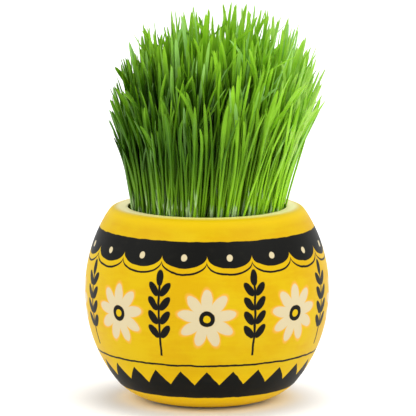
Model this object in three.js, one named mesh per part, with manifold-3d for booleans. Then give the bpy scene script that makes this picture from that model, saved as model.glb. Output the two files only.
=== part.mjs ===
// A wheatgrass pot: a round glazed earthenware pot, filled with growing mix, in which bunches of
// young wheat shoots stand. Millimetres, +Z up. The origin is on the pot's axis, at the bottom of
// its foot, and -Y is the front.
import * as THREE from "three";
import { mergeVertices } from "three/addons/utils/BufferGeometryUtils.js";
import Module from "manifold-3d";

// Pot
const POT_WIDTH = 130;
const POT_HEIGHT = 103;
const BELLY_HEIGHT = 58;
const BELLY_RISE = 71.5; // half height of the whole ellipse that the wall is a stretch of
const WALL = 7;
const FLOOR = 7;
const RIM_ROUND = 2.6; // height of the rounding on the rim's outer edge
const LIP_ROUND = 1.8; // height of the rounding on the rim's inner edge
const FOOT_RADIUS = 27;
const FOOT_RING = 8;
const FOOT_RECESS = 2;
const FOOT_ROUND = 9; // height of the rounding between foot and wall
const FLOOR_ROUND = 6; // height of the rounding between floor and wall
const POT_SIDES = 48;
const WALL_STEPS = 4; // between the widest ring and either end of the wall
const ROUND_STEPS = 2;
const FOOT_STEPS = 3;

// Growing mix
const SOIL_BELOW_RIM = 8;
const SOIL_LEVEL = POT_HEIGHT - SOIL_BELOW_RIM;
const FIT_GAP = 0.4; // clearance between a piece and what holds it

// Bunches of shoots, on rings round the pot's axis
const BUNCH_RINGS = [
  { count: 1, radius: 0 },
  { count: 6, radius: 16.8 },
  { count: 12, radius: 33.2 },
];
const ROOT_TOP_RADIUS = 7.6;
const ROOT_TIP_RADIUS = 4.4;
const ROOT_DEPTH = 24;
const ROOT_SIDES = 9;

// Shoots
const SHOOTS_PER_BUNCH = 26;
const ROOT_MARGIN = 1.4; // from the outermost shoots to the edge of the root clump
const SUNK = 5; // how deep a shoot stands in its root clump
const SWARD_RADIUS = BUNCH_RINGS.at(-1).radius + ROOT_TOP_RADIUS - ROOT_MARGIN;
const CROWN_HEIGHT = 212; // tips at the crown's middle
const CROWN_SHIFT = 7; // from the pot's axis to the crown's middle, at +X
const CROWN_EDGE = 60; // from the crown's middle to its edge
const CROWN_FALL = 40; // how far the tips at the edge are below those at the middle
const CROWN_FLATNESS = 3; // higher for a flatter top and a steeper edge
const CROWN_RISE = 90; // a common height of the tips above the soil
const SHORTEST = 0.86; // the shortest shoot's share of the tallest one's height
const SHORT_RARITY = 2; // 1 for as many short shoots as tall ones, and more for fewer
const FAN_SLOPE = 0.12; // outward lean of the outermost shoots at the soil
const FAN_BEND = 0.11; // outward bend that they gain towards the tip
const LIGHT_LEAN = 0.065; // lean of all shoots towards the light, at +X
const BUNCH_SPREAD = 0.03; // lean of a shoot away from the middle of its own bunch
const WANDER_SLOPE = 0.09; // lean by chance
const WANDER_BEND = 0.1; // bend by chance
const BLADE_WIDTHS = [2.6, 3.5];
const STEM_FULLNESS = 0.5; // the stem's share of the blade's width
const FULL_AT = 0.6; // the share of its length at which a blade is fully broad
const TIP_TAPER = 6; // higher for a blade that stays broad for longer
const BLADE_DEPTH = 0.8; // from the blade's flat face to its keel
const BLADE_SIDES = 3;
const BLADE_STEPS = 4;
const BLADE_GAP = 0.2; // between two blades
const RIM_GAP = 0.6; // between a blade and the rim
const FAR_ROOTS = 0.5; // shoots whose roots are this share of their height apart never meet
const SLICE = 3.5; // height between the levels at which blades are kept apart
const MOST_TRIES = 80;
const GOLDEN_ANGLE = Math.PI * (3 - Math.sqrt(5));
const SEED = 11;

// Colours and finishes
const FINISHES = {
  glaze: { color: 0xecc013, roughness: 0.32, metalness: 0 },
  soil: { color: 0x35261b, roughness: 0.95, metalness: 0 },
  grass: { color: 0x5f9a24, roughness: 0.5, metalness: 0 },
};

const wasm = await Module();
wasm.setup();

// A closed geometry as a solid that can be joined and cut.
function solidOf(geometry) {
  const bare = geometry.clone();
  bare.deleteAttribute("normal");
  bare.deleteAttribute("uv");
  const merged = mergeVertices(bare, 1e-4);
  const vertProperties = merged.attributes.position.array;
  const triVerts = Uint32Array.from(merged.index.array);
  return new wasm.Manifold(new wasm.Mesh({ numProp: 3, vertProperties, triVerts }));
}

function geometryOf(solid) {
  const { vertProperties, triVerts } = solid.getMesh();
  const geometry = new THREE.BufferGeometry();
  geometry.setAttribute("position", new THREE.BufferAttribute(vertProperties, 3));
  geometry.setIndex(new THREE.BufferAttribute(triVerts, 1));
  geometry.computeVertexNormals();
  return geometry;
}

function meshOf(name, geometry, finish) {
  const mesh = new THREE.Mesh(geometry, new THREE.MeshStandardMaterial(FINISHES[finish]));
  mesh.name = name;
  return mesh;
}

// A profile of [radius, height] points, turned about the Z axis.
function turned(profile, sides) {
  return new THREE.LatheGeometry(profile, sides).rotateX(Math.PI / 2);
}

// The wall's ellipse, set in from the outside by a depth: its radius at a height.
function wallRadius(depth, height) {
  const along = (height - BELLY_HEIGHT) / (BELLY_RISE - depth);
  return (POT_WIDTH / 2 - depth) * Math.sqrt(1 - along * along);
}

const wallPoint = (depth, height) => new THREE.Vector2(wallRadius(depth, height), height);

// Points along the wall's ellipse, from one height to another by way of its widest ring.
function wallArc(depth, from, to) {
  const [radius, rise] = [POT_WIDTH / 2 - depth, BELLY_RISE - depth];
  const angle = (height) => Math.asin((height - BELLY_HEIGHT) / rise);
  const ellipse = [0, BELLY_HEIGHT, radius, rise];
  const arc = (start, end) => new THREE.EllipseCurve(...ellipse, start, end, end < start);
  const toBelly = arc(angle(from), 0).getPoints(WALL_STEPS);
  const fromBelly = arc(0, angle(to)).getPoints(WALL_STEPS);
  return [...toBelly, ...fromBelly.slice(1)];
}

// A rounded corner between two points of a profile, without its two ends.
function rounded(from, corner, to, steps = ROUND_STEPS) {
  return new THREE.QuadraticBezierCurve(from, corner, to).getPoints(steps).slice(1, -1);
}

// The pot: foot ring with a recess, wall, rim and the inside down to its floor.
function pot() {
  const footInner = FOOT_RADIUS - FOOT_RING;
  const foot = new THREE.Vector2(FOOT_RADIUS, 0);
  const outside = wallArc(0, FOOT_ROUND, POT_HEIGHT - RIM_ROUND);
  const inside = wallArc(WALL, POT_HEIGHT - LIP_ROUND, FLOOR + FLOOR_ROUND);
  const rimOuter = new THREE.Vector2(wallRadius(0, POT_HEIGHT) - RIM_ROUND, POT_HEIGHT);
  const rimInner = new THREE.Vector2(wallRadius(WALL, POT_HEIGHT) + LIP_ROUND, POT_HEIGHT);
  const floorEdge = new THREE.Vector2(wallRadius(WALL, FLOOR) - FLOOR_ROUND, FLOOR);
  const profile = [
    new THREE.Vector2(0, FOOT_RECESS),
    new THREE.Vector2(footInner - FOOT_RECESS, FOOT_RECESS),
    new THREE.Vector2(footInner, 0),
    foot,
    ...rounded(foot, wallPoint(0, 0), outside[0], FOOT_STEPS),
    ...outside,
    ...rounded(outside.at(-1), wallPoint(0, POT_HEIGHT), rimOuter),
    rimOuter,
    rimInner,
    ...rounded(rimInner, wallPoint(WALL, POT_HEIGHT), inside[0]),
    ...inside,
    ...rounded(inside.at(-1), wallPoint(WALL, FLOOR), floorEdge),
    floorEdge,
    new THREE.Vector2(0, FLOOR),
  ];
  return meshOf("pot", turned(profile, POT_SIDES), "glaze");
}

// A root clump, or with a gap the plain hole in the growing mix that it stands in. Its top is at 0.
function rootClump(gap, top) {
  const profile = [
    new THREE.Vector2(0, -ROOT_DEPTH - gap),
    new THREE.Vector2(ROOT_TIP_RADIUS + gap, -ROOT_DEPTH - gap),
    new THREE.Vector2(ROOT_TOP_RADIUS + gap, -ROOT_DEPTH / 2),
    new THREE.Vector2(ROOT_TOP_RADIUS + gap, top),
    new THREE.Vector2(0, top),
  ];
  return turned(profile, ROOT_SIDES);
}

// The growing mix: it fills the pot to below the rim, and has a hole for each root clump.
function soil(bunches) {
  const depth = WALL + FIT_GAP;
  const low = FLOOR + FIT_GAP;
  const side = wallArc(depth, FLOOR + FLOOR_ROUND, SOIL_LEVEL);
  const bottom = new THREE.Vector2(wallRadius(depth, low) - FLOOR_ROUND, low);
  const profile = [
    new THREE.Vector2(0, low),
    bottom,
    ...rounded(bottom, wallPoint(depth, low), side[0]),
    ...side,
    new THREE.Vector2(0, SOIL_LEVEL),
  ];
  const hole = rootClump(FIT_GAP, SOIL_BELOW_RIM);
  const filled = solidOf(turned(profile, POT_SIDES));
  const holed = bunches.reduce((rest, { x, y }) => {
    return rest.subtract(solidOf(hole.clone().translate(x, y, SOIL_LEVEL)));
  }, filled);
  return meshOf("soil", geometryOf(holed), "soil");
}

// A draw by chance from 0 to 1, the same each time for a shoot, a try and a use.
function draw(shoot, attempt, use) {
  const mixed = Math.sin(shoot * 12.9898 + attempt * 4.1414 + use * 78.233 + SEED) * 43758.5453;
  return mixed - Math.floor(mixed);
}

// Where each bunch stands, ring by ring.
function bunchPlaces() {
  return BUNCH_RINGS.flatMap(({ count, radius }) =>
    Array.from({ length: count }, (_, i) => {
      const angle = ((i + 0.5) / count) * 2 * Math.PI;
      return { x: radius * Math.cos(angle), y: radius * Math.sin(angle) };
    }),
  );
}

// How full the blade is at a share of its length: a slim stem, a broad blade and a pointed tip.
function fullness(along) {
  const broad = THREE.MathUtils.lerp(STEM_FULLNESS, 1, Math.min(1, along / FULL_AT));
  return broad * Math.sqrt(1 - along ** TIP_TAPER);
}

// A shoot that grows at a place of its bunch: its height, its curve, its facing and its width.
// Each further try takes less of the lean and bend by chance, down to an even fan.
function shootAt(number, bunch, local, attempt) {
  const chance = 1 - attempt / MOST_TRIES;
  const root = new THREE.Vector2(bunch.x + local.x, bunch.y + local.y);
  const outward = root.clone().divideScalar(SWARD_RADIUS);
  const leanAngle = draw(number, attempt, 1) * 2 * Math.PI;
  const lean = WANDER_SLOPE * chance * Math.sqrt(draw(number, attempt, 2));
  const bendAngle = draw(number, attempt, 3) * 2 * Math.PI;
  const bendSize = WANDER_BEND * chance * draw(number, attempt, 4);
  const slope = outward.clone().multiplyScalar(FAN_SLOPE);
  slope.addScaledVector(local, BUNCH_SPREAD / ROOT_TOP_RADIUS);
  slope.x += LIGHT_LEAN;
  slope.add(new THREE.Vector2(lean * Math.cos(leanAngle), lean * Math.sin(leanAngle)));
  const bend = outward.clone().multiplyScalar(FAN_BEND * outward.length());
  bend.add(new THREE.Vector2(bendSize * Math.cos(bendAngle), bendSize * Math.sin(bendAngle)));
  const tip = slope.clone().add(bend).multiplyScalar(CROWN_RISE).add(root);
  const fromMiddle = tip.distanceTo(new THREE.Vector2(CROWN_SHIFT, 0)) / CROWN_EDGE;
  const tallest = CROWN_HEIGHT - CROWN_FALL * fromMiddle ** CROWN_FLATNESS - SOIL_LEVEL;
  const height = tallest * THREE.MathUtils.lerp(1, SHORTEST, draw(number, 0, 5) ** SHORT_RARITY);
  const facing = bend.angle() + (draw(number, attempt, 6) - 0.5) * Math.PI;
  const width = THREE.MathUtils.lerp(...BLADE_WIDTHS, draw(number, 0, 7));
  return { root, slope, bend, height, facing, width };
}

// A shoot's section at a share of its length: its middle, its half width and its height.
function sectionOf(shoot, along) {
  const { root, slope, bend, height, width } = shoot;
  const rise = THREE.MathUtils.lerp(-SUNK, height, along);
  const run = slope.clone().addScaledVector(bend, rise / height).multiplyScalar(rise);
  return { middle: run.add(root), half: (width / 2) * fullness(along), rise };
}

// The blade's flat width at a level above the soil, as the two ends of a line, or null past its tip.
function widthAt(shoot, level) {
  const along = ((level + SUNK) / (shoot.height + SUNK)) * BLADE_STEPS;
  if (along >= BLADE_STEPS) return null;
  const step = Math.floor(along);
  const [low, high] = [shoot.sections[step], shoot.sections[step + 1]];
  const middle = low.middle.clone().lerp(high.middle, along - step);
  const half = THREE.MathUtils.lerp(low.half, high.half, along - step);
  const across = new THREE.Vector2(-Math.sin(shoot.facing), Math.cos(shoot.facing));
  return [middle.clone().addScaledVector(across, half), middle.addScaledVector(across, -half)];
}

// The distance from a point to a line between two ends.
function pointToLine(point, [start, end]) {
  const run = end.clone().sub(start);
  const share = point.clone().sub(start).dot(run) / Math.max(run.lengthSq(), 1e-9);
  return point.distanceTo(start.clone().addScaledVector(run, THREE.MathUtils.clamp(share, 0, 1)));
}

// On which side of a line between two ends a point lies: positive, negative or on it.
const sideOf = (point, [start, end]) => end.clone().sub(start).cross(point.clone().sub(start));

// Whether two widths at one level come closer than a distance, or cross.
function tooClose(a, b, distance) {
  const splits = (line, by) => sideOf(line[0], by) * sideOf(line[1], by) < 0;
  if (splits(a, b) && splits(b, a)) return true;
  const near = [pointToLine(a[0], b), pointToLine(a[1], b), pointToLine(b[0], a), pointToLine(b[1], a)];
  return Math.min(...near) < distance;
}

// Whether a shoot's foot stands wholly in the root clump.
function isRooted(shoot, bunch) {
  const inside = ROOT_TOP_RADIUS * Math.cos(Math.PI / ROOT_SIDES) - BLADE_DEPTH / 2;
  const ends = [...widthAt(shoot, -SUNK), ...widthAt(shoot, 0)];
  return ends.every((end) => end.distanceTo(bunch) < inside);
}

// Whether a shoot stays clear of the rim and of the shoots that already stand.
function isClear(shoot, standing) {
  const mouth = wallRadius(WALL, POT_HEIGHT) - RIM_GAP - BLADE_DEPTH / 2;
  for (let level = 0; level < shoot.height; level += SLICE) {
    const width = widthAt(shoot, level);
    const inRim = level <= SOIL_BELOW_RIM + SLICE;
    if (inRim && width.some((end) => end.length() > mouth)) return false;
    for (const other of standing) {
      if (other.root.distanceTo(shoot.root) > shoot.height * FAR_ROOTS) continue;
      const otherWidth = widthAt(other, level);
      if (otherWidth && tooClose(width, otherWidth, BLADE_DEPTH + BLADE_GAP)) return false;
    }
  }
  return true;
}

// All shoots, each in the first try that is clear of those before it. A place where none is stays bare.
function growShoots(bunches) {
  const standing = [];
  bunches.forEach((bunch, b) => {
    bunch.shoots = [];
    for (let i = 0; i < SHOOTS_PER_BUNCH; i++) {
      const number = b * SHOOTS_PER_BUNCH + i;
      const radius = (ROOT_TOP_RADIUS - ROOT_MARGIN) * Math.sqrt((i + 0.5) / SHOOTS_PER_BUNCH);
      const angle = i * GOLDEN_ANGLE + b;
      const local = new THREE.Vector2(radius * Math.cos(angle), radius * Math.sin(angle));
      for (let attempt = 0; attempt <= MOST_TRIES; attempt++) {
        const shoot = shootAt(number, bunch, local, attempt);
        const steps = Array.from({ length: BLADE_STEPS + 1 }, (_, k) => k / BLADE_STEPS);
        shoot.sections = steps.map((along) => sectionOf(shoot, along));
        if (!isRooted(shoot, bunch) || !isClear(shoot, standing)) continue;
        standing.push(shoot);
        bunch.shoots.push(shoot);
        break;
      }
    }
  });
}

// A blade: a cone with few sides whose rings are flattened, keeled and set on the shoot's curve.
function blade(shoot) {
  const cone = new THREE.ConeGeometry(1, 1, BLADE_SIDES, BLADE_STEPS).rotateX(Math.PI / 2);
  const position = cone.attributes.position;
  const corner = (2 * Math.PI) / BLADE_SIDES; // from the keel to an edge of the flat face
  const [sin, cos] = [Math.sin(shoot.facing), Math.cos(shoot.facing)];
  for (let i = 0; i < position.count; i++) {
    const along = position.getZ(i) + 0.5;
    const { middle, half, rise } = shoot.sections[Math.round(along * BLADE_STEPS)];
    const ring = Math.max(1 - along, 1e-9);
    const across = (position.getX(i) / ring / Math.sin(corner)) * half;
    const keel = (-position.getY(i) / ring / (1 - Math.cos(corner))) * BLADE_DEPTH;
    position.setXYZ(i, middle.x + cos * keel - sin * across, middle.y + sin * keel + cos * across, rise);
  }
  return cone;
}

// A bunch of shoots, fused to the root clump that it grows from, about its own middle at soil level.
function bunchMesh(bunch, index) {
  const roots = solidOf(rootClump(0, 0));
  const grown = bunch.shoots.reduce((rest, shoot) => {
    return rest.add(solidOf(blade(shoot).translate(-bunch.x, -bunch.y, 0)));
  }, roots);
  const name = `grass_bunch_${String(index + 1).padStart(2, "0")}`;
  const mesh = meshOf(name, geometryOf(grown), "grass");
  mesh.position.set(bunch.x, bunch.y, 0);
  return mesh;
}

const bunches = bunchPlaces();
growShoots(bunches);

const sward = new THREE.Group();
sward.position.z = SOIL_LEVEL;
sward.add(...bunches.map(bunchMesh));

const wheatgrassPot = new THREE.Group();
wheatgrassPot.add(pot(), soil(bunches), sward);

export default wheatgrassPot;
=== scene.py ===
import math
import random

import bmesh
import bpy
from mathutils import Matrix, Vector, noise


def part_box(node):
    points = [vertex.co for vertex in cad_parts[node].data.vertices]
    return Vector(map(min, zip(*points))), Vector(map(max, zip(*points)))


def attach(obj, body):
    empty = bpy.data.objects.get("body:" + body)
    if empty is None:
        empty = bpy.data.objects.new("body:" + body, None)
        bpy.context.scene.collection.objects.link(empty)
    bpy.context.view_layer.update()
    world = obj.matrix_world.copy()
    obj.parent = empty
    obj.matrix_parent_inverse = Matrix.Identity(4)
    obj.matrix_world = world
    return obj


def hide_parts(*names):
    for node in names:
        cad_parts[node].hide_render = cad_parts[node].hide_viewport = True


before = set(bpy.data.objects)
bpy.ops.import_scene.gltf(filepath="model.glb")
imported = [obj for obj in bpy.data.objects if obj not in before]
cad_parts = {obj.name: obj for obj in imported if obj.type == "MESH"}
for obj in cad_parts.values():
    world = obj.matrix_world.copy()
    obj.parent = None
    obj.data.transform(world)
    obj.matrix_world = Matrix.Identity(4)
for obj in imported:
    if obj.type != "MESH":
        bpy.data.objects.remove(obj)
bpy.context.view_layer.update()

# The pot: slip-cast earthenware with a round belly, a flat-cut rim and a turned foot ring.
# Its outline is one ellipse cut off at rim and foot, spun round the axis, and it is glazed all
# over but for the ring that it stood on in the kiln.
belly_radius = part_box("pot")[1].x
rim_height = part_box("pot")[1].z
belly_height = 0.058
belly_rise = 0.0715
wall = 0.007
floor_thickness = 0.007
foot_radius = 0.027
foot_width = 0.008
foot_recess = 0.002
recess_bend = 0.6
foot_rounding = 0.009
rim_rounding = 0.0026
lip_rounding = 0.0011
floor_rounding = 0.006
pot_turns = 160
wall_points = 28
corner_points = 8
merge_distance = 1e-6


def at(radius, height):
    """A point of an outline that is to be spun."""
    return Vector((radius, 0, height))


def wall_radius(depth, height):
    """The radius of the wall's ellipse at a height, set in from the outside by a depth."""
    along = (height - belly_height) / (belly_rise - depth)
    return (belly_radius - depth) * math.sqrt(1 - along * along)


def on_wall(depth, height):
    """The point of the wall's ellipse at a height, set in from the outside by a depth."""
    return at(wall_radius(depth, height), height)


def wall_stretch(depth, start, end):
    """Points of the wall's ellipse from one height to another, spaced evenly by angle."""
    rise = belly_rise - depth
    first, last = [math.asin((height - belly_height) / rise) for height in (start, end)]
    shares = [step / wall_points for step in range(wall_points + 1)]
    angles = [first + share * (last - first) for share in shares]
    return [on_wall(depth, belly_height + rise * math.sin(angle)) for angle in angles]


def rounded(start, corner, end):
    """Points of a soft corner between two points of an outline, without those two."""
    shares = [step / corner_points for step in range(1, corner_points)]
    return [start.lerp(corner, share).lerp(corner.lerp(end, share), share) for share in shares]


def spun(bm, outline, turns):
    """An outline in the XZ plane, from the axis to the axis, spun into a closed body."""
    points = [bm.verts.new(point) for point in outline]
    lines = [bm.edges.new(pair) for pair in zip(points, points[1:])]
    bmesh.ops.spin(bm, geom=points + lines, axis=(0, 0, 1), cent=(0, 0, 0), angle=math.tau,
                   steps=turns, use_merge=True)
    bmesh.ops.remove_doubles(bm, verts=bm.verts, dist=merge_distance)
    bmesh.ops.recalc_face_normals(bm, faces=bm.faces)


def piece(name, bm, finish, node):
    """A finished mesh as a piece of the object, riding on its body in place of a node of the frame."""
    for face in bm.faces:
        face.smooth = True
    mesh = bpy.data.meshes.new(name)
    bm.to_mesh(mesh)
    bm.free()
    mesh.materials.append(finish)
    made = bpy.data.objects.new(name, mesh)
    bpy.context.scene.collection.objects.link(made)
    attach(made, "root")
    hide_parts(node)


class Shade:
    """A socket in a material. Python's operators on it add Math nodes, and node() adds any other."""

    def __init__(self, tree, socket=None):
        self.tree = tree
        self.socket = socket

    def node(self, kind, settings=None, sockets=None, output=0):
        """A new node: its type, its settings, then the values or links of its sockets."""
        made = self.tree.nodes.new(kind)
        for name, value in (settings or {}).items():
            if name == "stops":
                for position, _ in value[2:]:
                    made.color_ramp.elements.new(position)
                for element, (position, colour) in zip(made.color_ramp.elements, sorted(value)):
                    element.position = position
                    element.color = (*colour, 1)
            else:
                setattr(made, name, value)
        for name, value in (sockets or {}).items():
            if isinstance(value, Shade):
                self.tree.links.new(value.socket, made.inputs[name])
            else:
                made.inputs[name].default_value = value
        return Shade(self.tree, made.outputs[output])

    def beside(self, output):
        """Another output of the same node."""
        return Shade(self.tree, self.socket.node.outputs[output])

    def math(self, operation, *values):
        """A Math node on some values."""
        return self.node("ShaderNodeMath", {"operation": operation}, dict(enumerate(values)))

    def __add__(self, other):
        return self.math("ADD", self, other)

    __radd__ = __add__

    def __sub__(self, other):
        return self.math("SUBTRACT", self, other)

    def __rsub__(self, other):
        return self.math("SUBTRACT", other, self)

    def __mul__(self, other):
        return self.math("MULTIPLY", self, other)

    __rmul__ = __mul__

    def __truediv__(self, other):
        return self.math("DIVIDE", self, other)

    def __rtruediv__(self, other):
        return self.math("DIVIDE", other, self)

    def __pow__(self, other):
        return self.math("POWER", self, other)

    def __rpow__(self, other):
        return self.math("POWER", other, self)

    def __abs__(self):
        return self.math("ABSOLUTE", self)

    def most(self, other):
        """The greater of two values."""
        return self.math("MAXIMUM", self, other)

    def wrapped(self, low, high):
        """The value brought into a span by whole lengths of it."""
        return self.math("WRAP", self, high, low)

    def step(self, low, high):
        """A soft step from 0 to 1 as this value goes from low to high."""
        settings = {"interpolation_type": "SMOOTHSTEP"}
        return self.node("ShaderNodeMapRange", settings, {"Value": self, "From Min": low, "From Max": high})

    def mixed(self, below, above):
        """A colour between two, by this value as the share of the second."""
        settings = {"data_type": "RGBA", "clamp_factor": True}
        below, above = [value if isinstance(value, Shade) else (*value, 1) for value in (below, above)]
        # A Mix node's colours are its sockets 6 and 7, and its output 2
        return self.node("ShaderNodeMix", settings, {0: self, 6: below, 7: above}, output=2)

    def grain(self, scale, detail=3.0, roughness=0.5):
        """Noise of a scale at this place."""
        sockets = {"Vector": self, "Scale": scale, "Detail": detail, "Roughness": roughness}
        return self.node("ShaderNodeTexNoise", None, sockets)

    def scaled(self, scale):
        """This place, scaled along each axis."""
        return self.node("ShaderNodeMapping", None, {"Vector": self, "Scale": scale})

    def bump(self, strength, distance):
        """A normal bent by this value as a height."""
        sockets = {"Strength": strength, "Distance": distance, "Height": self}
        return self.node("ShaderNodeBump", None, sockets)


def new_finish(name, **constant):
    """A material with a shader whose constant values are set, and a start for its expressions."""
    made = bpy.data.materials.new(name)
    made.use_nodes = True
    shader = made.node_tree.nodes["Principled BSDF"]
    for socket, value in constant.items():
        shader.inputs[socket.replace("_", " ")].default_value = value
    return made, Shade(made.node_tree)


def feed(finish, **links):
    """Links expressions to the sockets of a material's shader."""
    shader = finish.node_tree.nodes["Principled BSDF"]
    for socket, value in links.items():
        finish.node_tree.links.new(value.socket, shader.inputs[socket.replace("_", " ")])


# The pot's paint is underglaze: a yellow wash with a scalloped garland of black below the rim, a
# toothed band above the foot, and round the belly a belt of big daisies and wheat ears. It is put on
# freehand with a brush, so edges waver and the wash is uneven, under one thin satin glaze.
yellow_deep = (0.597, 0.353, 0.0003)
yellow_light = (0.625, 0.415, 0.0013)
yellow_worn = (0.640, 0.460, 0.009)
# painted light: the rim's flat top, worn pale and painted paler still as lit from above
rim_worn_and_painted_light = (0.98, 0.88, 0.48)
rim_front_worn_and_painted_light = (0.98, 0.88, 0.26)
# a lighter wash with painted light on the rim's rounded edge, as it turns up to the light
rim_edge_wash_and_painted_light = (0.700, 0.470, 0.002)
# painted light: a lighter yellow for the foot, where the belly is in shade
foot_painted_light = (0.88, 0.545, 0.0003)
paint_black = (0.005, 0.005, 0.004)
paint_thin = (0.012, 0.011, 0.008)
petal_cream = (0.605, 0.512, 0.312)
petal_blush = (0.78, 0.36, 0.07)
bare_clay = (0.62, 0.52, 0.40)
brush_edge = 0.00018
brush_wander = 0.0010
wander_scale = 170
line_width = 0.0011

glaze, start = new_finish("yellow_glaze", Specular_IOR_Level=0.08)
place = start.node("ShaderNodeTexCoord", output="Object")
wander = place.grain(wander_scale, detail=2.0) - 0.5
to_right = place.node("ShaderNodeSeparateXYZ", None, {0: place})
to_back = to_right.beside("Y")
true_height = to_right.beside("Z")
height = true_height + wander * brush_wander
angle = start.math("ARCTAN2", to_right, 0 - to_back) + wander * (brush_wander / belly_radius)


def cell(count, offset=0.0):
    """The distance round the belly from the middle of the nearest of a number of repeats."""
    half = math.pi / count
    return (angle + offset).wrapped(-half, half) * belly_radius


def inside(distance):
    """1 where a distance is below nothing and 0 above, with the soft edge of a brush stroke."""
    return distance.step(brush_edge, -brush_edge)


def between(value, low, high):
    """1 where a value lies between two others, with the edges of a brush stroke."""
    return inside(low - value) * inside(value - high)


def oval(along, across, length, width):
    """The distance to the edge of an oval stroke, in metres along its narrow way."""
    return (((along / length) ** 2 + (across / width) ** 2) ** 0.5 - 1) * width


# Daisies: cream petals with a blush of peach round them, and a black eye with a yellow middle
daisies = 8
daisy_height = 0.0535
daisy_petals = 9
petal_middle = 0.0094
petal_length = 0.0060
petal_width = 0.0029
blush_width = 0.0011
daisy_eye = 0.0042
daisy_middle = 0.0019
half_petal = math.pi / daisy_petals
beside = cell(daisies)
above = height - daisy_height
spoke = (beside * beside + above * above) ** 0.5
turn = start.math("ARCTAN2", beside, above).wrapped(-half_petal, half_petal)
out = spoke * start.math("COSINE", turn)
off = spoke * start.math("SINE", turn)
petal = oval(out - petal_middle, off, petal_length, petal_width)
petals = inside(petal)
blush = petal.step(blush_width, 0)
eye = inside(spoke - daisy_eye)
middle = inside(spoke - daisy_middle)

# Wheat ears between the daisies: a stalk, two rows of slanting grains and one grain at the top
ear_rows = 4
ear_spacing = 0.0074
rows_below_middle = 1.5
ear_low = -rows_below_middle * ear_spacing
ear_high = ear_low + ear_rows * ear_spacing
grain_length = 0.0043
grain_width = 0.0020
grain_lean = math.radians(36)
grain_off = 0.0032
stalk_low = -0.0205
stalk_width = 0.0013
ear_side = abs(cell(daisies, math.pi / daisies))
row = above.wrapped(-ear_spacing / 2, ear_spacing / 2)
out_of_row = ear_side - grain_off
grain_along = row * math.cos(grain_lean) + out_of_row * math.sin(grain_lean)
grain_across = out_of_row * math.cos(grain_lean) - row * math.sin(grain_lean)
in_rows = between(above, ear_low, ear_high)
grains = inside(oval(grain_along, grain_across, grain_length, grain_width)) * in_rows
top_grain = inside(oval(above - ear_high - grain_length / 2, ear_side, grain_length, grain_width))
stalk = inside(ear_side - stalk_width / 2) * between(above, stalk_low, ear_high)
ears = grains.most(top_grain).most(stalk)

# Garland below the rim: a broad black band with scallops, a cream dot in each, and a line along them
scallops = 16
garland_top = 0.0925
garland_low = 0.0855
scallop_drop = 0.0062
garland_line_gap = 0.0030
dot_height = 0.0846
dot_radius = 0.0017
half_turn = math.pi / scallops
half_scallop = half_turn * belly_radius
from_scallop = cell(scallops, half_turn)
scallop = from_scallop / half_scallop
garland_edge = garland_low - ((1 - scallop * scallop).most(0) ** 0.5) * scallop_drop
garland = between(height, garland_edge, garland_top)
garland_line = inside(abs(height - garland_edge + garland_line_gap) - line_width / 2)
dot_above = height - dot_height
dots = inside((from_scallop * from_scallop + dot_above * dot_above) ** 0.5 - dot_radius)

# Band above the foot: black with teeth, and a line above them
teeth = 26
foot_band_low = 0.0085
foot_band_high = 0.0165
tooth_height = 0.0080
foot_line_height = 0.0278
tooth = abs(cell(teeth)) * (teeth / (math.pi * belly_radius))
foot_band = between(height, foot_band_low, foot_band_high + (1 - tooth) * tooth_height)
foot_line = inside(abs(height - foot_line_height) - line_width / 2)
black = garland.most(foot_band).most(garland_line).most(foot_line).most(ears)

# The wash: uneven, streaked by the brush, worn in places, and painted light near the foot, where the belly
# turns down into shade
wash_scale = 34
streak_scale = 70
streak_squash = (1, 1, 6)
streak_share = 0.3
wash_span = (0.40, 0.62)
worn_scale = 21
worn_span = (0.56, 0.74)
worn_share = 0.55
foot_painted_light_heights = (0.028, 0.004)
wash = place.grain(wash_scale, detail=4.0, roughness=0.6)
streak = place.scaled(streak_squash).grain(streak_scale, roughness=0.6)
evenness = wash * (1 - streak_share) + streak * streak_share
worn = place.grain(worn_scale, roughness=0.55).step(*worn_span) * worn_share
ground = evenness.step(*wash_span).mixed(yellow_deep, yellow_light)
ground = worn.mixed(ground, yellow_worn)
# painted light: the wash turns lighter towards the foot, against the shade under the belly
ground = true_height.step(*foot_painted_light_heights).mixed(ground, foot_painted_light)

# The rim: a lighter wash with painted light on its rounded edge, and its flat top worn pale and painted
# paler as lit from above, warmer at the front and the back
rim_top_depth = 0.0018
rim_edge_painted_light_heights = (0.0965, 0.1020)
rim_sides = (0.014, 0.044)
rim_top_reach = (0.0502, 0.0458)
from_axis = (to_right * to_right + to_back * to_back) ** 0.5
on_rim = true_height.step(rim_height - rim_top_depth, rim_height) * from_axis.step(*rim_top_reach)
rim_top_worn_and_painted_light = abs(to_right).step(*rim_sides).mixed(rim_front_worn_and_painted_light, rim_worn_and_painted_light)
ground = true_height.step(*rim_edge_painted_light_heights).mixed(ground, rim_edge_wash_and_painted_light)
ground = on_rim.mixed(ground, rim_top_worn_and_painted_light)

# The painting over the wash, and bare clay where the foot ring stood in the kiln
blush_share = 0.8
thin_streaks = 0.6
thin_wander = 0.8
thin_span = (0.3, 0.75)
clay_edge = (0.0009, 0.0003)
ground = (blush * (1 - petals) * blush_share).mixed(ground, petal_blush)
brushed = (streak * thin_streaks + wander * thin_wander).step(*thin_span).mixed(paint_black, paint_thin)
painted = black.mixed(ground, brushed)
painted = petals.most(dots).mixed(painted, petal_cream)
painted = (eye * (1 - middle)).mixed(painted, paint_black)
painted = middle.mixed(painted, yellow_light)
clay = true_height.step(*clay_edge)
painted = clay.mixed(painted, bare_clay)

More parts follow.
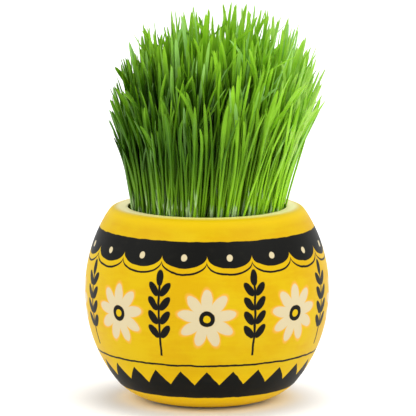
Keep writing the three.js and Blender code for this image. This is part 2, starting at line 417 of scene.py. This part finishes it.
# The glaze: the paint stands a little proud under it, and it is rougher where the wash is light
paint_relief = 0.5
wash_relief = 0.8
speckle_relief = 0.05
speckle_scale = 900
glaze_roughness = 0.38
wash_roughness = 0.14
clay_roughness = 0.3
speckle = place.grain(speckle_scale, detail=2.0)
layers = black.most(petals).most(eye) * paint_relief + wash * wash_relief + speckle * speckle_relief
rough = wash * wash_roughness + glaze_roughness + clay * clay_roughness
feed(glaze, Base_Color=painted, Roughness=rough, Normal=layers.bump(strength=0.25, distance=0.0002))

# The pot's outline, from the recess under the foot up the outside, over the rim and down the inside
recess_edge = at(foot_radius - foot_width - foot_recess, foot_recess)
recess_corner = at(foot_radius - foot_width, foot_recess * recess_bend)
ring_inner = at(foot_radius - foot_width, 0)
ring_outer = at(foot_radius, 0)
outside = wall_stretch(0, foot_rounding, rim_height - rim_rounding)
rim_outer = at(wall_radius(0, rim_height) - rim_rounding, rim_height)
rim_inner = at(wall_radius(wall, rim_height) + lip_rounding, rim_height)
inside_wall = wall_stretch(wall, rim_height - lip_rounding, floor_thickness + floor_rounding)
floor_edge = at(wall_radius(wall, floor_thickness) - floor_rounding, floor_thickness)
pot_outline = [
    at(0, foot_recess),
    recess_edge,
    *rounded(recess_edge, recess_corner, ring_inner),
    ring_inner,
    ring_outer,
    *rounded(ring_outer, on_wall(0, 0), outside[0]),
    *outside,
    *rounded(outside[-1], on_wall(0, rim_height), rim_outer),
    rim_outer,
    rim_inner,
    *rounded(rim_inner, on_wall(wall, rim_height), inside_wall[0]),
    *inside_wall,
    *rounded(inside_wall[-1], on_wall(wall, floor_thickness), floor_edge),
    floor_edge,
    at(0, floor_thickness),
]
pot_mesh = bmesh.new()
spun(pot_mesh, pot_outline, pot_turns)
piece("painted_pot", pot_mesh, glaze, "pot")

# The growing mix: moist peat with some bark and grit, pressed into the pot to a finger below the
# rim. Its top is crumbly, and loose crumbs lie on it.
soil_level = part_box("soil")[1].z
soil_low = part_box("soil")[0].z
soil_gap = 0.0005
soil_turns = 120
soil_rings = 34
peat_dark = (0.012, 0.008, 0.005)
peat_light = (0.075, 0.045, 0.025)
peat_span = (0.36, 0.68)
lump_scale = 420
fibre_scale = 1600
fibre_share = 0.4
fibre_relief = 0.5

mix, start = new_finish("growing_mix", Roughness=0.95)
place = start.node("ShaderNodeTexCoord", output="Object")
lumps = place.grain(lump_scale, detail=5.0, roughness=0.65)
fibre = place.grain(fibre_scale, roughness=0.6)
peat = (lumps * (1 - fibre_share) + fibre * fibre_share).step(*peat_span).mixed(peat_dark, peat_light)
crumble = lumps + fibre * fibre_relief
feed(mix, Base_Color=peat, Normal=crumble.bump(strength=0.7, distance=0.0006))

soil_depth = wall + soil_gap
soil_side = wall_stretch(soil_depth, floor_thickness + floor_rounding, soil_level)
soil_bottom = at(wall_radius(soil_depth, soil_low) - floor_rounding, soil_low)
soil_edge = soil_side[-1].x
soil_outline = [
    at(0, soil_low),
    soil_bottom,
    *rounded(soil_bottom, on_wall(soil_depth, soil_low), soil_side[0]),
    *soil_side,
    *(at(soil_edge * (1 - ring / soil_rings), soil_level) for ring in range(1, soil_rings + 1)),
]
soil_mesh = bmesh.new()
spun(soil_mesh, soil_outline, soil_turns)

# The crumbly top: lumps within lumps, each layer of them finer and lower than the last
lump_height = 0.0016
lump_size = 0.007
lump_layers = 4
layer_finer = 2.1
layer_lower = 0.9
lumps_sunk = 0.6


def crumbly(spot):
    """How far the crumbly top stands above its level at a spot."""
    lumpy = noise.fractal(spot / lump_size, layer_lower, layer_finer, lump_layers)
    return lump_height * (lumpy - lumps_sunk)


for vert in soil_mesh.verts:
    if vert.co.z > soil_level - merge_distance:
        vert.co.z += crumbly(vert.co)

# Loose crumbs, each a ball made uneven by noise
crumbs = 420
crumb_sizes = (0.0006, 0.0017)
crumb_margin = 0.002
crumb_rise = 0.3
crumb_girth = 0.75
crumb_unevenness = 0.5
crumb_grain = 1.7
crumb_variety = 900
crumb_chance = random.Random(5)
for _ in range(crumbs):
    crumb = bmesh.ops.create_icosphere(soil_mesh, subdivisions=1, radius=1)["verts"]
    size = crumb_chance.uniform(*crumb_sizes)
    direction = crumb_chance.uniform(0, math.tau)
    reach = math.sqrt(crumb_chance.random()) * (soil_edge - crumb_margin)
    spot = Vector((reach * math.cos(direction), reach * math.sin(direction), soil_level))
    spot.z += crumbly(spot) + size * crumb_rise
    for vert in crumb:
        uneven = noise.noise(vert.co * crumb_grain + spot * crumb_variety)
        vert.co = spot + vert.co * size * (crumb_girth + crumb_unevenness * uneven)
piece("growing_mix", soil_mesh, mix, "soil")

# The shoots: wheat ten days old. Each is a slim round sheath, white at the soil, that opens halfway
# up into one broad leaf, folded along its midrib and blunt at the tip, and often a younger leaf grows
# out of the sheath. They follow the shoots of each bunch in the frame, with more of the same between.
leaf_dark = (0.006, 0.032, 0.0005)
leaf_green = (0.048, 0.147, 0.0020)
leaf_light = (0.280, 0.600, 0.020)
leaf_pale = (0.520, 0.760, 0.210)
leaf_bloom = (0.330, 0.620, 0.180)
sheath_dark = (0.066, 0.180, 0.004)
sheath_light = (0.400, 0.790, 0.024)
sheath_white = (0.400, 0.570, 0.270)
leaf_stops = [(0.0, leaf_dark), (0.42, leaf_green), (0.80, leaf_light), (1.0, leaf_pale)]
sward_height = 0.117
root_reach = 0.0398

# Each corner of a leaf carries its side of the midrib, how waxy and cool it is, and its tone, in which
# painted light makes leaves lighter to the right and at the top of the crown
grass, start = new_finish("wheat_leaf", Subsurface_Weight=0.1, Subsurface_Scale=0.0012,
                          Subsurface_Radius=(0.5, 1.0, 0.15), Specular_IOR_Level=0.13)
leaf = start.node("ShaderNodeAttribute", {"attribute_name": "leaf"}, output="Vector")
across = leaf.node("ShaderNodeSeparateXYZ", None, {0: leaf})
bloom = across.beside("Y")
tone_and_painted_light = across.beside("Z")
place = start.node("ShaderNodeTexCoord", output="Object")
to_right = place.node("ShaderNodeSeparateXYZ", None, {0: place})
to_back = to_right.beside("Y")
height = to_right.beside("Z") - soil_level

# How fresh the green is: by the leaf's own tone with its painted light, patches and veins, and painted
# shade that makes it darker deep inside the sward
crown_lean = 0.18
painted_shade_span = (0.95, 0.70)
painted_shade_heights = (0.092, 0.060)
painted_shade_tone = 0.3
vein_turns = 26
vein_tone = 0.10
patch_scale = 120
patch_tone = 0.25
tone_below = 0.24
from_axis = (to_right * to_right + to_back * to_back) ** 0.5
from_edge = from_axis / (height * crown_lean + root_reach)
# painted shade: leaves deep inside the sward and low down are painted darker
depth = from_edge.step(*painted_shade_span) * height.step(*painted_shade_heights)
veins = start.math("SINE", across * vein_turns) * 0.5 + 0.5
patches = place.grain(patch_scale)
freshness_with_painted_light_and_shade = tone_and_painted_light + patches * patch_tone + veins * vein_tone - tone_below - depth * painted_shade_tone

# The blade with its light midrib, and the sheath with streaks of white that rise from the soil
midrib_span = (0.24, 0.02)
midrib_share = 0.2
white_stretch = (1, 1, 0.05)
white_scale = 520
white_span = (0.40, 0.75)
white_reach = 0.026
white_edge = (0.004, -0.006)
blade_heights = (0.042, 0.008)
leaf_roughness = 0.33
patch_roughness = 0.15
blade_colour = start.node("ShaderNodeValToRGB", {"stops": leaf_stops}, {0: freshness_with_painted_light_and_shade})
midrib = abs(across).step(*midrib_span) * midrib_share
blade_colour = bloom.mixed(midrib.mixed(blade_colour, leaf_light), leaf_bloom)
white_height = place.scaled(white_stretch).grain(white_scale, detail=2.0).step(*white_span) * white_reach
white = (height - white_height).step(*white_edge)
# the sheath's green follows the same freshness, so it carries the painted light and painted shade too
sheath_colour = white.mixed(freshness_with_painted_light_and_shade.mixed(sheath_dark, sheath_light), sheath_white)
leaf_colour = height.step(*blade_heights).mixed(blade_colour, sheath_colour)
rough = patches * patch_roughness + leaf_roughness
feed(grass, Base_Color=leaf_colour, Roughness=rough, Normal=veins.bump(strength=0.35, distance=0.0001))

# One straight leaf as a form for all: rings drawn to a point, with long edges creased above the sheath
leaf_sides = 4
leaf_steps = 12
crease_from = 0.45
leaf_form = bmesh.new()
ring = bmesh.ops.create_circle(leaf_form, cap_ends=True, segments=leaf_sides, radius=1)["verts"]
column = bmesh.ops.spin(leaf_form, geom=[*ring, *leaf_form.edges], angle=0, axis=(0, 0, 1), cent=(0, 0, 0),
                        dvec=(0, 0, 1 / leaf_steps), steps=leaf_steps)
last_ring = [part for part in column["geom_last"] if isinstance(part, bmesh.types.BMVert)]
bmesh.ops.pointmerge(leaf_form, verts=last_ring, merge_co=(0, 0, 1))
bmesh.ops.recalc_face_normals(leaf_form, faces=leaf_form.faces)
for edge in leaf_form.edges:
    low, high = sorted(vert.co.z for vert in edge.verts)
    round_the_leaf = high - low < 0.5 / leaf_steps
    edge.smooth = round_the_leaf or low < crease_from
leaf_template = bpy.data.meshes.new("leaf_form")
leaf_form.to_mesh(leaf_template)
leaf_form.free()

# Where the frame's shoots stand
least_shoot = 0.02
root_margin = 0.001
tip_digits = 4


def in_order(verts):
    """Vertices in the order of their mesh, so that a sum over them is the same each run."""
    return sorted(verts, key=lambda vert: vert.index)


def shoots_of(node):
    """Each shoot of a bunch: its places at the soil, partway up and at the tip, and the way it faces.

    They come in the order of their tips, so that no draw hangs on the order of the frame's mesh.
    """
    bm = bmesh.new()
    bm.from_mesh(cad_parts[node].data)
    bmesh.ops.remove_doubles(bm, verts=bm.verts, dist=merge_distance)
    bm.verts.index_update()
    found = []
    for tip in bm.verts:
        ring = in_order(edge.other_vert(tip) for edge in tip.link_edges)
        if tip.co.z < soil_level + least_shoot or any(vert.co.z > tip.co.z for vert in ring):
            continue
        spans = [one.co - other.co for one in ring for other in ring]
        widest = max(spans, key=lambda span: span.length)
        facing = math.atan2(widest.y, widest.x) % math.pi
        middles = [tip.co.copy()]
        seen = {tip}
        while middles[0].z >= soil_level + root_margin:
            middles.insert(0, sum((vert.co for vert in ring), Vector()) / len(ring))
            seen.update(ring)
            ring = in_order({edge.other_vert(vert) for vert in ring for edge in vert.link_edges} - seen)
        found.append((middles[0], middles[2], middles[-1], facing))
    bm.free()
    return sorted(found, key=lambda shoot: [round(part, tip_digits) for part in shoot[2]])


def curve_through(low, middle, high):
    """A curve through three points by height, as the place at a share of the height."""
    split = (middle.z - low.z) / (high.z - low.z)
    bend = ((middle - low) / split - (high - low)) / (split - 1)
    return lambda share: low + (high - low) * share + bend * share * (share - 1)


def level(direction, length):
    """A level vector of a length."""
    return Vector((math.cos(direction), math.sin(direction), 0)) * length


def eased(value, low, high):
    """A soft step from 0 to 1 as a value goes from low to high."""
    share = min(1, max(0, (value - low) / (high - low)))
    return share * share * (3 - 2 * share)


# One leaf: most steps lie near its tip; towards it the leaf gets more waxy, and lighter by painted light,
# the more so the taller the shoot
chance = random.Random(12)
bloom_chance = random.Random(7)
face_chance = random.Random(3)
leaf_crowding = 1.6
leaf_thickness = 0.00034
leaf_fold = 0.42
sheath_flatness = 0.9
tip_lengths = (0.011, 0.023)
tip_bluntness = 2.1
tip_thickness = 0.3
tip_most = 0.6
painted_tip_light = 0.81
bloom_share = 0.20
look_ahead = 0.01


def add_leaf(bm, layer, curve, facing, width, twist, tone_and_painted_light, sheath, opens):
    """A leaf set on a curve: a round sheath that opens, a folded blade and a blunt tip."""
    tip_share = min(tip_most, chance.uniform(*tip_lengths) / (curve(1) - curve(0)).length)
    # painted light: the tips of tall shoots, at the top of the crown, are painted lighter
    painted_crown_light = (1 - tone_and_painted_light) * painted_tip_light * (curve(1).z - soil_level) / sward_height
    bloom = bloom_chance.random() * (bloom_chance.random() < bloom_share)
    first = len(bm.verts)
    bm.from_mesh(leaf_template)
    bm.verts.ensure_lookup_table()
    for vert in bm.verts[first:]:
        side, face, step = vert.co
        share = 1 - (1 - step) ** leaf_crowding
        ahead = (curve(share + look_ahead) - curve(share - look_ahead)).normalized()
        flat = level(facing + twist * share, 1)
        flat = (flat - ahead * flat.dot(ahead)).normalized()
        opened = eased(share, *opens)
        past = max(0, 1 - (1 - share) / tip_share)
        taper = math.sqrt(max(0, 1 - past ** tip_bluntness))
        half = 0.5 * (sheath + (width - sheath) * opened) * taper
        thick = sheath * (1 - opened) * sheath_flatness + leaf_thickness * opened
        thick = 0.5 * thick * max(taper, tip_thickness)
        fold = leaf_fold * half * opened * abs(side)
        vert.co = curve(share) + flat * side * half + ahead.cross(flat) * (face * thick + fold)
        vert[layer] = (side, bloom * share * share, tone_and_painted_light + painted_crown_light * share * share)


# One shoot: it sways, its tip droops or is bent over, and painted light makes it lighter the further right
# it stands
sunk = 0.004
edge_hold = 0.9
painted_light_share = 0.75
painted_light_fall = 1.6
sward_reach = 0.058
sheath_widths = (0.0012, 0.0017)
sheath_heights = (0.024, 0.046)
opening_height = 0.030
leaf_widths = (0.0017, 0.0029)
leaf_twist = 0.5
sway_size = 0.0044
sway_waves = (0.8, 1.5)
droop_size = 0.0032
droop_fall = 0.5
droop_late = 5
bent_share = 0.26
bent_reach = (0.007, 0.020)
young_share = 0.44
young_leaves = (0.34, 0.50)
young_lengths = (0.68, 1.02)
young_reach = (0.002, 0.009)
young_late = 1.5
young_widths = (0.0011, 0.0019)
young_twist = 0.6
young_sheath = 0.45
young_opens = (0, 0.35)
crossing_share = 0.26
crossing_reach = (0.012, 0.024)


def kept_in(shift, curve):
    """A level shift, cut down where it would take a leaf at the sward's edge further out."""
    root = curve(0).to_2d().to_3d()
    outward = root.normalized()
    return shift - outward * max(0, shift.dot(outward)) * edge_hold * min(1, root.length / root_reach)


def grow(bm, layer, curve, facing):
    """A shoot on a curve: its first leaf, and often a younger one that leaves it on the way up."""
    length = (curve(1) - curve(0)).length
    size = length / sward_height
    sway = level(chance.uniform(0, math.tau), chance.gauss(0, sway_size) * size)
    waves = chance.uniform(*sway_waves)
    bent = chance.random() < bent_share
    droop = size * (chance.uniform(*bent_reach) if bent else abs(chance.gauss(0, droop_size)))
    drop = kept_in(level(chance.uniform(0, math.tau), droop), curve) - Vector((0, 0, droop_fall * droop))

    def first_leaf(share):
        swayed = sway * math.sin(share * math.pi * waves) * share
        return curve(share) + swayed + drop * max(0, share) ** droop_late

    sheath = chance.uniform(*sheath_widths)
    # painted light: leaves are painted lighter the further right they stand, the side the light comes from
    painted_light_side = painted_light_share * max(0, 0.5 + curve(1).x / (2 * sward_reach)) ** painted_light_fall
    width = chance.uniform(*leaf_widths)
    twist = chance.gauss(0, leaf_twist)
    tone_and_painted_light = painted_light_side + (1 - painted_light_share) * chance.random()
    opening = sunk + chance.uniform(*sheath_heights)
    opens = (opening / length, (opening + opening_height) / length)
    add_leaf(bm, layer, first_leaf, facing, width, twist, tone_and_painted_light, sheath, opens)
    if chance.random() > young_share:
        return
    leaves_at = chance.uniform(*young_leaves)
    part = chance.uniform(*young_lengths) * (1 - leaves_at)
    veer = chance.uniform(0, math.tau)
    crossing = chance.random() < crossing_share
    reach = size * chance.uniform(*(crossing_reach if crossing else young_reach))
    away = kept_in(level(veer, reach), curve)

    def young_leaf(share):
        return first_leaf(leaves_at + part * share) + away * max(0, share) ** young_late

    width = chance.uniform(*young_widths)
    twist = chance.gauss(0, young_twist)
    tone_and_painted_light = painted_light_side + (1 - painted_light_share) * chance.random()
    sheath = width * young_sheath
    add_leaf(bm, layer, young_leaf, veer + math.pi / 2, width, twist, tone_and_painted_light, sheath, young_opens)


def beside_shoot(curve, part, offset, tilt, turn):
    """The curve of a shoot that grows as another does: shorter, and turned a little round the pot."""
    turned = Matrix.Rotation(turn, 3, "Z")
    return lambda share: turned @ (curve(share * part) + offset + tilt * max(0, share))


# The bunches: each shoot of the frame, with more and taller neighbours near the edge and a few late ones
inner_share = 0.35
edge_share = 3.3
inner_parts = (0.72, 0.93)
edge_parts = (0.87, 1.01)
late_share = 0.04
late_parts = (0.25, 0.65)
neighbour_spread = 0.008
neighbour_tilt = 0.006
root_shift = (-0.003, 0.003)
for node in sorted(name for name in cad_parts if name.startswith("grass_bunch")):
    bunch = bmesh.new()
    layer = bunch.verts.layers.float_vector.new("leaf")
    for low, middle, high, facing in shoots_of(node):
        curve = curve_through(low - Vector((0, 0, sunk)), middle, high)
        facing += math.pi * face_chance.randrange(2)
        grow(bunch, layer, curve, facing)
        outward = low.to_2d().to_3d()
        edge = (outward.length / root_reach) ** 2
        neighbour_share = inner_share + (edge_share - inner_share) * edge
        neighbour_parts = [inner + (outer - inner) * edge for inner, outer in zip(inner_parts, edge_parts)]
        for parts, share in ((neighbour_parts, neighbour_share), (late_parts, late_share)):
            for _ in range(int(share + chance.random())):
                turn = chance.gauss(0, neighbour_spread) / max(outward.length, neighbour_spread)
                radius = min(root_reach, outward.length + chance.uniform(*root_shift))
                offset = outward.normalized() * radius - outward
                tilt = kept_in(level(chance.uniform(0, math.tau), chance.gauss(0, neighbour_tilt)), curve)
                part = chance.uniform(*parts)
                grow(bunch, layer, beside_shoot(curve, part, offset, tilt * part, turn), facing + turn)
    piece(node.replace("grass_bunch", "shoots"), bunch, grass, node)
bpy.data.meshes.remove(leaf_template)

# The stage: a wide pale floor in a white room, and broad soft lamps from the upper right, the upper
# left and above, the last the brightest.
floor_radius = 6.0
floor_sides = 96
floor_drop = 0.0003
paper_white = (0.94, 0.94, 0.94, 1)
room_white = (1, 1, 1, 1)
room_strength = 0.85
lamp_spread = math.radians(50)
floor_mesh = bmesh.new()
bmesh.ops.create_circle(floor_mesh, cap_ends=True, segments=floor_sides, radius=floor_radius)
bmesh.ops.translate(floor_mesh, verts=floor_mesh.verts, vec=(0, 0, -floor_drop))
floor_data = bpy.data.meshes.new("pale_floor")
floor_mesh.to_mesh(floor_data)
floor_mesh.free()
floor_data.materials.append(new_finish("white_paper", Base_Color=paper_white, Roughness=0.9)[0])
pale_floor = bpy.data.objects.new("pale_floor", floor_data)
bpy.context.scene.collection.objects.link(pale_floor)

room = bpy.data.worlds.new("white_room")
room.use_nodes = True
room.node_tree.nodes["Background"].inputs["Color"].default_value = room_white
room.node_tree.nodes["Background"].inputs["Strength"].default_value = room_strength
bpy.context.scene.world = room


def broad_lamp(name, towards, strength):
    """A lamp so far off and so broad that it lights the whole floor evenly, with very soft shadows."""
    lamp = bpy.data.lights.new(name, "SUN")
    lamp.energy = strength
    lamp.angle = lamp_spread
    made = bpy.data.objects.new(name, lamp)
    made.rotation_euler = Vector(towards).to_track_quat("-Z", "Y").to_euler()
    bpy.context.scene.collection.objects.link(made)


broad_lamp("key_lamp", (-0.75, 0.50, -0.75), 0.9)
broad_lamp("fill_lamp", (0.85, 0.30, -0.60), 0.75)
broad_lamp("top_lamp", (-0.10, -0.18, -0.95), 1.5)
bpy.context.scene.view_settings.view_transform = "Standard"

# The camera: a long lens a little above the rim, framed as in the photograph, where the image is
# 416 pixels wide and high.
image_pixels = 416
pot_pixels = 245
pot_axis_pixel = 207
rim_plane_pixel = 205.5
lens = 300
sensor = 36
far_clip = 50
elevation = math.radians(8.6)
pixel_size = 2 * belly_radius / pot_pixels
distance = image_pixels * pixel_size * lens / sensor
right_of_middle = (image_pixels / 2 - pot_axis_pixel) * pixel_size
above_middle = (image_pixels / 2 - rim_plane_pixel) * pixel_size
aim = Vector((right_of_middle, 0, rim_height - above_middle / math.cos(elevation)))
back = Vector((0, -math.cos(elevation), math.sin(elevation)))
camera_data = bpy.data.cameras.new("camera")
camera_data.lens = lens
camera_data.sensor_width = sensor
camera_data.clip_end = far_clip
camera = bpy.data.objects.new("camera", camera_data)
camera.location = aim + back * distance
camera.rotation_euler = (-back).to_track_quat("-Z", "Y").to_euler()
bpy.context.scene.collection.objects.link(camera)
bpy.context.scene.camera = camera
